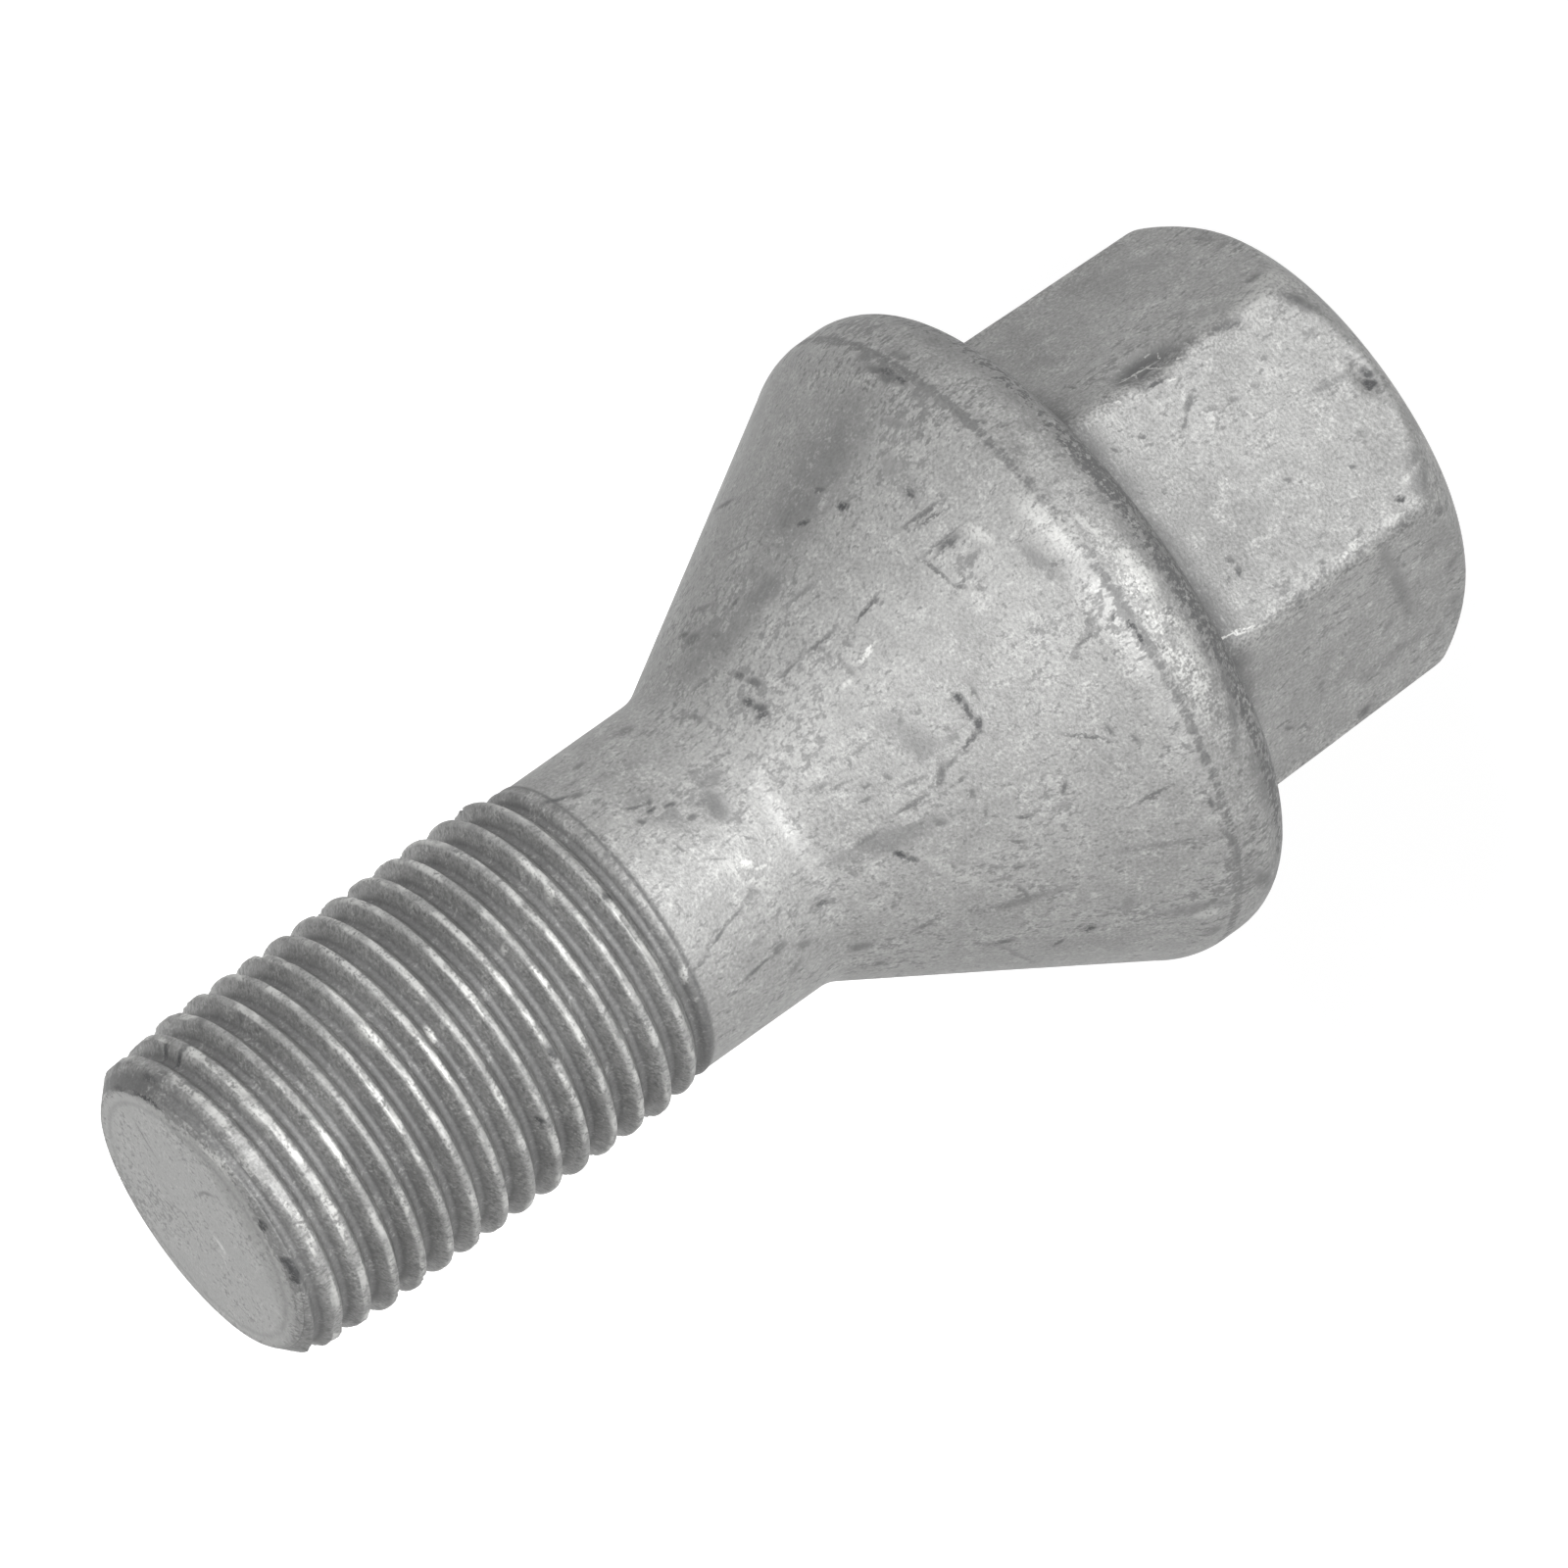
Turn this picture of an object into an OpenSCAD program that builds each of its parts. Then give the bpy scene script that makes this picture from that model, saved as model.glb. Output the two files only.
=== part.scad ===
// Wheel bolt with a 60 degree cone seat, a rolled metric fine thread and a plain forged hexagon head.
// It stands on its head: z = 0 is the flat end of the hexagon, and +Z runs along the axis to the thread tip.

/* [Thread] */
// Measured diameter over the thread crests, for a nominal size of 16
thread_d = 15.7; // [14:0.05:18]
// Axial distance from one crest to the next
thread_pitch = 1.5; // [1:0.25:2]
// Length from the tip plane to the end of the run-out
thread_len = 22.4; // [14:0.1:36]
// Width of the flat on the crest
crest_w = 0.24; // [0.15:0.01:0.3]
// Width of the flat in the root
root_w = 0.3; // [0.2:0.01:0.35]
// Angle round the axis by which the thread's start is turned
thread_start = 93; // [0:1:359]
// Angle between the two flanks of the thread
flank_angle = 60; // [55:1:65]
// Length over which the groove fades into the shank
runout_len = 2.1; // [1:0.1:4]

/* [Tip] */
// Diameter of the flat face at the tip
tip_face_d = 13.2; // [11:0.1:13.6]
// Radial rise of the tip chamfer for each millimetre of length
tip_chamfer_rise = 1; // [0.6:0.05:1.6]
// Diameter that the chamfer reaches before the lead of the first crests
tip_lead_d = 14.7; // [14:0.05:15.4]
// Radial rise of the lead for each millimetre of length
tip_lead_rise = 0.11; // [0.05:0.01:0.3]

/* [Shank] */
// Diameter of the plain shank
shank_d = 14.8; // [13:0.1:15]
// Length of the plain shank up to where the seat would meet it
shank_len = 7.2; // [4:0.1:20]
// Radius of the hollow between the shank and the seat
shank_fillet_r = 2.4; // [1:0.1:4]

/* [Seat and flange] */
// Included angle of the cone seat
seat_angle = 60; // [50:1:90]
// Diameter at the wide end of the cone seat
seat_d = 30.4; // [27:0.1:31]
// Largest diameter of the flange
flange_d = 31.7; // [31.5:0.1:36]
// Height of the shoulder from the wide end of the seat to the largest diameter
shoulder_h = 2; // [0.8:0.1:3]
// Radius of the rounding at the rear of the flange
flange_round_r = 2.7; // [1:0.1:3.8]
// Height of the plain band at the largest diameter
flange_band_h = 0.9; // [0.2:0.1:4]

/* [Hexagon] */
// Size across the flats beside the flange
hex_af = 20.7; // [18:0.1:22]
// Size across the flats at the free end, a little less because the head is forged
hex_end_af = 20.1; // [19:0.1:20.6]
// Height from the flat end to the back of the flange
hex_h = 14.4; // [10:0.1:24]
// Radius of the rounded upright corners
hex_corner_r = 1.3; // [0.6:0.1:2]
// Diameter of the flat end face
end_face_d = 18; // [12:0.1:18]
// Radius of the domed chamfer round the free end
end_round_r = 6; // [5:0.1:9]
// Angle between the end face and the start of the domed chamfer
end_slope = 26; // [10:1:34]
// Radius of the hollow where the hexagon meets the flange
hex_fillet_r = 0.9; // [0.4:0.1:1.4]

/* [Fineness] */
// Straight pieces in one turn of the thread
thread_steps = 40; // [24:4:60]
// Straight pieces in each rounding of the profile
arc_steps = 8; // [4:1:12]

/* [Hidden] */

thread_r = thread_d / 2;
shank_r = shank_d / 2;
flange_r = flange_d / 2;
seat_r = seat_d / 2;
end_face_r = end_face_d / 2;
half_seat = seat_angle / 2;

// Heights from the end of the head upwards
band_z = hex_h + flange_round_r;
shoulder_z = band_z + flange_band_h;
seat_z = shoulder_z + shoulder_h;
seat_corner_z = seat_z + (seat_r - shank_r) / tan(half_seat);
runout_z = seat_corner_z + shank_len;
tip_z = runout_z + thread_len;

// One pitch of the thread as [part of a pitch, radius], from the middle of a root
flank_w = (thread_pitch - crest_w - root_w) / 2;
thread_depth = flank_w / tan(flank_angle / 2);
root_r = thread_r - thread_depth;
THREAD_PROFILE = [
    [root_w / 2 / thread_pitch, root_r],
    [(root_w / 2 + flank_w) / thread_pitch, thread_r],
    [(root_w / 2 + flank_w + crest_w) / thread_pitch, thread_r],
    [1 - root_w / 2 / thread_pitch, root_r],
];
rows_per_turn = len(THREAD_PROFILE);
// The rows start this many turns under the run-out, so that every column has some there
turns_below = 2;
turns = ceil(thread_len / thread_pitch) + turns_below + 1;
row_count = rows_per_turn * turns;

// The threaded end stands a hair inside the shank's edge, so that the two outlines never cross
runout_inset = 0.03;
// It also reaches a little way down into the shank, so that the two are one body
thread_sink = 0.6;

// Straight pieces in the hollow between the hexagon and the flange
hollow_steps = 3;
// Straight pieces in each rounded upright corner
corner_steps = 6;

// Points on an arc round [x, y], both ends included
function arc(x, y, r, from, to, steps = arc_steps) =
    [for (i = [0:steps]) let (a = from + (to - from) * i / steps) [x + r * cos(a), y + r * sin(a)]];

// Height of a row of the thread in one column
function row_z(column, row) =
    runout_z + thread_pitch * (floor(row / rows_per_turn) - turns_below
        + THREAD_PROFILE[row % rows_per_turn][0] + column / thread_steps);

// Largest radius that the tip chamfer and the lead of the first crests leave at a height
function tip_limit(z) =
    min(tip_face_d / 2 + tip_chamfer_rise * (tip_z - z), tip_lead_d / 2 + tip_lead_rise * (tip_z - z));

// Part of the full groove that is cut at a height, from 0 at the shank to 1
function groove_part(z) = min(1, max(0, (z - runout_z) / runout_len));

// Radius of the threaded end where the uncut thread would have the radius r
function threaded_r(r, z) =
    let (plain = shank_r - runout_inset)
    min(tip_limit(z), plain + (r - plain) * groove_part(z));

// Radius of the uncut thread at a height in one column, on the straight lines between the profile's points
function profile_r(column, z) =
    let (
        turn = (z - runout_z) / thread_pitch - column / thread_steps,
        part = turn - floor(turn),
        knots = concat([[0, root_r]], THREAD_PROFILE, [[1, root_r]])
    )
    lookup(part, knots);

// A point of the threaded end; rows beyond an end plane stop on it
function thread_point(column, row) =
    let (
        z = row_z(column, row),
        a = 360 * column / thread_steps,
        r = threaded_r(THREAD_PROFILE[row % rows_per_turn][1], z)
    )
    [r * cos(a), r * sin(a), z];

function end_point(column, z) =
    let (a = 360 * column / thread_steps, r = threaded_r(profile_r(column, z), z))
    [r * cos(a), r * sin(a), z];

// Numbers of the points: all rows of each column, then the lower rim, then the upper rim
lower_rim = thread_steps * row_count;
upper_rim = lower_rim + thread_steps;
rim_gap = 0.02;

function point_number(column, row) =
    column == thread_steps ? point_number(0, row + rows_per_turn)
    : row >= row_count || row_z(column, row) > tip_z - rim_gap ? upper_rim + column
    : row_z(column, row) < runout_z + rim_gap ? lower_rim + column
    : column * row_count + row;

// A triangle, unless two of its corners have met on a rim
function triangle(a, b, c) = a == b || b == c || c == a ? [] : [[a, b, c]];

module threaded_end() {
    columns = [0:thread_steps - 1];
    points = concat(
        [for (c = columns, r = [0:row_count - 1]) thread_point(c, r)],
        [for (c = columns) end_point(c, runout_z - thread_sink)],
        [for (c = columns) end_point(c, tip_z)]
    );
    skin = [
        for (c = columns, r = [0:row_count - 1])
        let (
            a = point_number(c, r),
            b = point_number(c + 1, r),
            d = point_number(c, r + 1),
            e = point_number(c + 1, r + 1)
        )
        each concat(triangle(a, e, b), triangle(a, d, e))
    ];
    polyhedron(points, concat(
        skin,
        [[for (c = columns) lower_rim + c]],
        [[for (c = columns) upper_rim + thread_steps - 1 - c]]
    ), convexity = 10);
}

// Profile of all that is round below the thread: flange, seat, hollow and shank
module round_body() {
    // The hollow touches the shank and the seat line
    hollow_x = shank_r + shank_fillet_r;
    hollow_z = seat_corner_z + shank_fillet_r * tan(half_seat / 2);
    // The shoulder runs from the direction of the seat to upright, as an arc drawn to its two sizes
    turn = 90 - half_seat;
    shoulder = [
        for (i = [0:arc_steps])
        let (a = half_seat * i / arc_steps)
        [
            flange_r - (flange_r - seat_r) * (1 - cos(a)) / (1 - cos(half_seat)),
            shoulder_z + shoulder_h * sin(a) / sin(half_seat)
        ]
    ];
    rotate_extrude($fn = 96)
    polygon(concat(
        [[0, hex_h]],
        arc(flange_r - flange_round_r, band_z, flange_round_r, -90, 0),
        shoulder,
        arc(hollow_x, hollow_z, shank_fillet_r, 180 + half_seat, 180),
        [[shank_r, runout_z], [0, runout_z]]
    ));
}

// Rounded corners of the hexagon stand on fixed centres, so a change of size is a change of their radius
flat_centre = hex_af / 2 - hex_corner_r;
hex_spare = 1;

// Outline of the hexagon at a height, with corners on X and flats at the front and the rear
function hexagon_outline(z, af) = [
    for (corner = [0:5], i = [0:corner_steps])
    let (a = 60 * corner - 30 + 60 * i / corner_steps, r = af / 2 - flat_centre)
    [
        flat_centre / cos(30) * cos(60 * corner) + r * cos(a),
        flat_centre / cos(30) * sin(60 * corner) + r * sin(a),
        z
    ]
];

// Size across the flats on the drafted sides
function drafted_af(z) = hex_end_af + (hex_af - hex_end_af) * z / hex_h;

// The hexagon from below its end to inside the flange, with the hollow beside the flange
module hexagon_sides() {
    outlines = concat(
        [hexagon_outline(-hex_spare, drafted_af(-hex_spare))],
        [
            for (i = [0:hollow_steps])
            let (a = 80 * i / hollow_steps, z = hex_h - hex_fillet_r * (1 - sin(a)))
            hexagon_outline(z, drafted_af(z) + 2 * hex_fillet_r * (1 - cos(a)))
        ],
        [hexagon_outline(hex_h + 0.1 * hex_fillet_r, hex_af + 2.3 * hex_fillet_r)]
    );
    n = len(outlines[0]);
    last = len(outlines) - 1;
    polyhedron([for (outline = outlines, p = outline) p], concat(
        [
            for (k = [0:last - 1], i = [0:n - 1])
            let (low = k * n, high = low + n, j = (i + 1) % n)
            each [[low + i, high + i, high + j], [low + i, high + j, low + j]]
        ],
        [[for (i = [0:n - 1]) i]],
        [[for (i = [0:n - 1]) last * n + n - 1 - i]]
    ), convexity = 4);
}

module hexagon_head() {
    // The end is domed: an arc whose lower end stands on the rim of the flat end face
    dome_x = end_face_r - end_round_r * sin(end_slope);
    dome_z = end_round_r * cos(end_slope);
    intersection() {
        hexagon_sides();
        rotate_extrude($fn = 96)
        polygon(concat(
            [[0, 0]],
            arc(dome_x, dome_z, end_round_r, end_slope - 90, 0),
            [[flange_r, dome_z], [flange_r, hex_h + hex_spare], [0, hex_h + hex_spare]]
        ));
    }
}

module wheel_bolt() {
    color("silver")
    union() {
        hexagon_head();
        round_body();
        rotate(thread_start)
        threaded_end();
    }
}

wheel_bolt();
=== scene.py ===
import math

import bmesh
import bpy
import numpy as np
from mathutils import Matrix, Vector
from mathutils.bvhtree import BVHTree


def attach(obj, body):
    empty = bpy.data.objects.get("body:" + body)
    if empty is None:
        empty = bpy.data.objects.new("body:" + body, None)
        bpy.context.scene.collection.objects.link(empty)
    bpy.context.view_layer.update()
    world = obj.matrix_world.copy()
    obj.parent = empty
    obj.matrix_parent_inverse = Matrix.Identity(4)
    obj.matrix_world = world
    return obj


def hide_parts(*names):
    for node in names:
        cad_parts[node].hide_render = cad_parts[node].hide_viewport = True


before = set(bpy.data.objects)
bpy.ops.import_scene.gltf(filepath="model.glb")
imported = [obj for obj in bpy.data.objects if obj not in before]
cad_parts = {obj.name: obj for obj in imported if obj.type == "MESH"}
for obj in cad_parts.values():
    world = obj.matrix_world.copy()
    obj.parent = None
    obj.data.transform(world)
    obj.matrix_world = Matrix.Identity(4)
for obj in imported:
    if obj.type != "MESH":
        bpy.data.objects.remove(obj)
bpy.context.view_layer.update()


# Node trees
class Wire:
    # a socket of a node tree; arithmetic on it adds Math nodes

    def __init__(self, socket):
        self.socket = socket

    @staticmethod
    def node(tree, kind, settings=None, sockets=None, output=0):
        made = tree.nodes.new(kind)
        for name, value in (settings or {}).items():
            if name == "stops":
                fillRamp(made.color_ramp, value)
            else:
                setattr(made, name, value)
        for name, value in (sockets or {}).items():
            if isinstance(value, Wire):
                tree.links.new(value.socket, made.inputs[name])
            else:
                made.inputs[name].default_value = value
        return Wire(made.outputs[output]) if len(made.outputs) else made

    def other(self, name):
        return Wire(self.socket.node.outputs[name])

    def math(self, operation, *values, clamp=False):
        sockets = dict(enumerate(values))
        settings = {"operation": operation, "use_clamp": clamp}
        return Wire.node(self.socket.id_data, "ShaderNodeMath", settings, sockets)

    def __add__(self, other):
        return self.math("ADD", self, other)

    def __radd__(self, other):
        return self.math("ADD", other, self)

    def __sub__(self, other):
        return self.math("SUBTRACT", self, other)

    def __rsub__(self, other):
        return self.math("SUBTRACT", other, self)

    def __mul__(self, other):
        return self.math("MULTIPLY", self, other)

    def __rmul__(self, other):
        return self.math("MULTIPLY", other, self)

    def __truediv__(self, other):
        return self.math("DIVIDE", self, other)

    def __abs__(self):
        return self.math("ABSOLUTE", self)

    def least(self, other):
        return self.math("MINIMUM", self, other)

    def most(self, other):
        return self.math("MAXIMUM", self, other)

    def unit(self):
        return self.math("ADD", self, 0.0, clamp=True)

    def rise(self, low, high, smooth=True):
        settings = {"interpolation_type": "SMOOTHSTEP" if smooth else "LINEAR"}
        sockets = {"Value": self, "From Min": low, "From Max": high, "To Min": 0.0, "To Max": 1.0}
        return Wire.node(self.socket.id_data, "ShaderNodeMapRange", settings, sockets)


def fillRamp(ramp, stops):
    while len(ramp.elements) < len(stops):
        ramp.elements.new(1.0)
    for element, (place, value) in zip(ramp.elements, stops):
        element.position = place
        element.color = (value, value, value, 1.0) if isinstance(value, float) else (*value, 1.0)


def join(tree, x, y, z=0.0):
    return Wire.node(tree, "ShaderNodeCombineXYZ", None, {"X": x, "Y": y, "Z": z})


def vector(tree, operation, a, b=None, output=0):
    sockets = {0: a}
    if b is not None:
        sockets[3 if operation == "SCALE" else 1] = b
    return Wire.node(tree, "ShaderNodeVectorMath", {"operation": operation}, sockets, output)


def noise(tree, place, scale, detail=3.0, rough=0.5, distort=0.0, output="Factor"):
    sockets = {"Vector": place, "Scale": scale, "Detail": detail, "Roughness": rough, "Distortion": distort}
    made = Wire.node(tree, "ShaderNodeTexNoise", None, sockets)
    return made if output == "Factor" else made.other("Color")


def blend(tree, factor, a, b, kind="MIX"):
    settings = {"data_type": "RGBA", "blend_type": kind, "clamp_factor": True}
    return Wire.node(tree, "ShaderNodeMix", settings, {0: factor, 6: a, 7: b}, 2)


# The bolt, sizes in millimetres and degrees
boltSizes = {
    "threadRadius": 7.85,
    "threadPitch": 1.5,
    "threadLength": 22.4,
    "threadStart": 93.0,
    "crestWidth": 0.26,
    "rootWidth": 0.3,
    "rootRadius": 7.019,
    "rodStart": 1.2,
    "runOutLength": 2.0,
    "grooveEnd": 0.5,
    "burr": 0.06,
    "tipFaceRadius": 6.6,
    "tipFaceFall": 0.38,
    "tipFaceFallSide": -20.0,
    "tipFaceFallWidth": 1.45,
    "tipEdge": 0.12,
    "tipChamferRise": 1.0,
    "tipLeadRadius": 7.35,
    "tipLeadRise": 0.11,
    "shankRadius": 7.4,
    "shankLength": 7.2,
    "shankFillet": 2.4,
    "seatHalfAngle": 30.0,
    "seatRadius": 15.2,
    "flangeRadius": 15.85,
    "shoulderHeight": 2.0,
    "flangeRound": 2.7,
    "flangeBand": 0.9,
    "hexHeight": 14.4,
    "hexFlat": 10.35,
    "hexEndFlat": 10.05,
    "hexCorner": 0.8,
    "hexFillet": 0.9,
    "endFaceRadius": 9.0,
    "endRound": 6.0,
    "endSlope": 26.0,
    "endSoftness": 0.2,
    "forgeUnevenness": 0.035,
    "crestDents": 0.16,
    # place across and up on the unrolled sheet, half length, half width, lean in degrees, depth
    "dents": (
        (5.95, 8.85, 1.85, 0.95, 86, 0.42),
        (0.25, 1.1, 0.75, 0.55, 20, 0.35),
        (5.5, 54.25, 1.3, 0.3, 176, 0.1),
    ),
    "seed": 3,
    "columns": 252,
}

# Radius at which the surface is unrolled to the sheet, whose middle is the front
sheetRadius = 10.0

# Rows of the mesh in one pitch of the thread, from the middle of one root to the next
threadRows = (0.0, 0.07, 0.13, 0.23, 0.33, 0.405, 0.455, 0.545, 0.595, 0.67, 0.77, 0.87, 0.93)


def heights(b):
    band = b["hexHeight"] + b["flangeRound"]
    shoulder = band + b["flangeBand"]
    seat = shoulder + b["shoulderHeight"]
    corner = seat + (b["seatRadius"] - b["shankRadius"]) / math.tan(math.radians(b["seatHalfAngle"]))
    runOut = corner + b["shankLength"]
    return {"band": band, "shoulder": shoulder, "seat": seat, "corner": corner,
            "runOut": runOut, "tip": runOut + b["threadLength"]}


def arc(x, y, radius, start, end, count):
    angles = np.radians(np.linspace(start, end, count))
    return [(x + radius * math.cos(a), y + radius * math.sin(a)) for a in angles]


def columnAngles(count):
    # denser at the corners of the hexagon; the first and the last column meet at the rear
    share = np.linspace(-1, 1, count // 6 + 1)[:-1]
    within = 30 * (0.5 * share + 0.5 * share ** 3)
    angles = [60 * corner + within for corner in range(6)]
    angles = np.concatenate(angles + [np.array([330.0])]) - 240
    return np.radians(angles)


def hexRadius(flat, corner, angles):
    # distance to a hexagon with rounded corners, whose flats face the front and the rear
    sixth = math.radians(30)
    fromFlat = np.abs(angles % (2 * sixth) - sixth)
    toCorner = sixth - fromFlat
    centre = (flat - corner) / math.cos(sixth)
    bend = math.atan((flat - corner) * math.tan(sixth) / flat)
    reach = np.sqrt(np.maximum(corner ** 2 - (centre * np.sin(toCorner)) ** 2, 0))
    return np.where(fromFlat > bend, centre * np.cos(toCorner) + reach, flat / np.cos(fromFlat))


def softLeast(a, b, width):
    h = np.clip(0.5 + 0.5 * (b - a) / width, 0, 1)
    return b * (1 - h) + a * h - width * h * (1 - h)


def headRows(b, z, angles):
    # rows of (radius, height) for each column, from the middle of the end face to the flange
    rows = [(np.full_like(angles, r), np.zeros_like(angles)) for r in (0.0, 3.0, 6.0, 8.0, 8.8)]
    centreX = b["endFaceRadius"] - b["endRound"] * math.sin(math.radians(b["endSlope"]))
    centreZ = b["endRound"] * math.cos(math.radians(b["endSlope"]))
    straight = b["hexHeight"] - b["hexFillet"]
    levels = arc(centreX, centreZ, b["endRound"], b["endSlope"] - 90, 0, 38)
    levels += [(centreX + b["endRound"], h) for h in np.linspace(centreZ, straight, 28)[1:]]
    draft = (b["hexFlat"] - b["hexEndFlat"]) / b["hexHeight"]
    for limit, height in levels:
        side = hexRadius(b["hexEndFlat"] + draft * height, b["hexCorner"], angles)
        side = softLeast(side, np.full_like(side, limit), b["endSoftness"])
        rows.append((side, np.full_like(side, height)))
    foot = rows[-1][0]
    for a in np.radians(np.linspace(0, 90, 8)[1:]):
        rows.append((foot + b["hexFillet"] * (1 - math.cos(a)),
                     np.full_like(foot, straight + b["hexFillet"] * math.sin(a))))
    inner, outer = rows[-1][0], b["flangeRadius"] - b["flangeRound"]
    for share in (0.33, 0.66):
        rows.append((inner + (outer - inner) * share, np.full_like(foot, b["hexHeight"])))
    return rows


def roundProfile(b, z):
    # from the rear of the flange to the start of the thread
    half = math.radians(b["seatHalfAngle"])
    points = arc(b["flangeRadius"] - b["flangeRound"], z["band"], b["flangeRound"], -90, 0, 14)
    points += [(b["flangeRadius"], z["band"] + b["flangeBand"] * 0.5)]
    for a in np.linspace(0, half, 12):
        drop = (b["flangeRadius"] - b["seatRadius"]) * (1 - math.cos(a)) / (1 - math.cos(half))
        rise = b["shoulderHeight"] * math.sin(a) / math.sin(half)
        points.append((b["flangeRadius"] - drop, z["shoulder"] + rise))
    hollow = arc(b["shankRadius"] + b["shankFillet"], z["corner"] + b["shankFillet"] * math.tan(half / 2),
                 b["shankFillet"], 180 + b["seatHalfAngle"], 180, 9)
    first, last = np.array(points[-1]), np.array(hollow[0])
    points += [tuple(first + (last - first) * share) for share in np.linspace(0, 1, 30)[1:-1]]
    points += hollow
    low = z["runOut"] - b["rodStart"]
    points += [(b["shankRadius"], h) for h in np.linspace(hollow[-1][1], low, 12)[1:]]
    return points


def makeBlank(b):
    # the forged blank with a plain rod where the thread is rolled; its rows there already follow the helix
    z = heights(b)
    angles = columnAngles(b["columns"])
    same = np.ones_like(angles)
    rows = headRows(b, z, angles)
    rows += [(r * same, h * same) for r, h in roundProfile(b, z)]
    plainRows = len(rows)
    # the tip was cut off a little askew, so that its face falls away towards one side
    fromFront = angles + math.pi / 2 - math.radians(b["tipFaceFallSide"])
    side = np.cos((fromFront + math.pi) % (2 * math.pi) - math.pi)
    fall = np.clip(np.abs(side) ** 1.3 * (side > 0), 0, 1)
    low, high = z["runOut"] - b["rodStart"], z["tip"] - b["tipEdge"] - fall * b["tipFaceFall"]
    lead = (angles - math.radians(b["threadStart"])) / (2 * math.pi)
    first = math.floor((low - z["runOut"]) / b["threadPitch"] - lead.max()) - 1
    last = math.ceil((high.max() - z["runOut"]) / b["threadPitch"] - lead.min()) + 1
    for turn in range(first, last):
        for part in threadRows:
            height = z["runOut"] + b["threadPitch"] * (turn + part + lead)
            height = np.where(height < low + 0.02, low, np.where(height > high - 0.02, high, height))
            rows.append((b["shankRadius"] * same, height))
    rolledRows = len(rows)
    # from the rim inwards: a rounded edge, the falling part of the face, then the flat
    rim = b["tipFaceRadius"] + fall * b["tipFaceFall"]
    flat = b["tipFaceRadius"] - 0.16 - b["tipFaceFallWidth"] * fall
    rows.append((rim + 0.05, z["tip"] - b["tipEdge"] / 2 - fall * b["tipFaceFall"]))
    for share in (0.04, 0.12, 0.25, 0.4, 0.55, 0.7, 0.82, 0.92):
        drop = (1 - share) ** 1.2 * fall * b["tipFaceFall"] + 0.018 * max(0, 1 - share / 0.12)
        rows.append((rim + (flat - rim) * share, z["tip"] - drop))
    for share in (1.0, 0.94, 0.85, 0.7, 0.5, 0.3, 0.12, 0.0):
        rows.append((flat * share, z["tip"] * same))
    radius = np.array([row[0] for row in rows])
    height = np.array([row[1] for row in rows])
    across = ((angles + math.pi * 1.5) % (2 * math.pi) - math.pi) * sheetRadius
    sheet = np.stack((across + 0 * height, height, np.ones_like(height)), -1)
    for dent in b["dents"]:
        along, beside = markSums(dent)
        radius -= dent[5] * np.exp(-np.hypot(sheet @ along, sheet @ beside) ** 4)
    rolled = np.zeros(radius.shape, bool)
    rolled[plainRows:rolledRows] = True
    return angles, radius, height, rolled


def gridFaces(angles, radius, height):
    # places in millimetres and faces of a grid of rings
    count, columns = radius.shape
    places = np.stack([radius * np.cos(angles), radius * np.sin(angles), height], -1).reshape(-1, 3)
    i, j = np.meshgrid(np.arange(count - 1), np.arange(columns - 1), indexing="ij")
    corner = (i * columns + j).ravel()
    faces = np.stack([corner, corner + columns, corner + columns + 1, corner + 1], -1)
    return places, faces.tolist()


def gridMesh(name, angles, radius, height, rolled):
    places, faces = gridFaces(angles, radius, height)
    mesh = bpy.data.meshes.new(name)
    mesh.from_pydata((places / 1000).tolist(), [], faces)
    mark = mesh.attributes.new("rolled", "FLOAT", "POINT")
    mark.data.foreach_set("value", rolled.ravel().astype(np.float32))
    work = bmesh.new()
    work.from_mesh(mesh)
    bmesh.ops.remove_doubles(work, verts=work.verts, dist=1e-7)
    bmesh.ops.dissolve_degenerate(work, edges=work.edges, dist=1e-8)
    bmesh.ops.recalc_face_normals(work, faces=work.faces)
    if work.calc_volume(signed=True) < 0:
        bmesh.ops.reverse_faces(work, faces=work.faces)
    work.to_mesh(mesh)
    work.free()
    mesh.shade_smooth()
    return mesh


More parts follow.
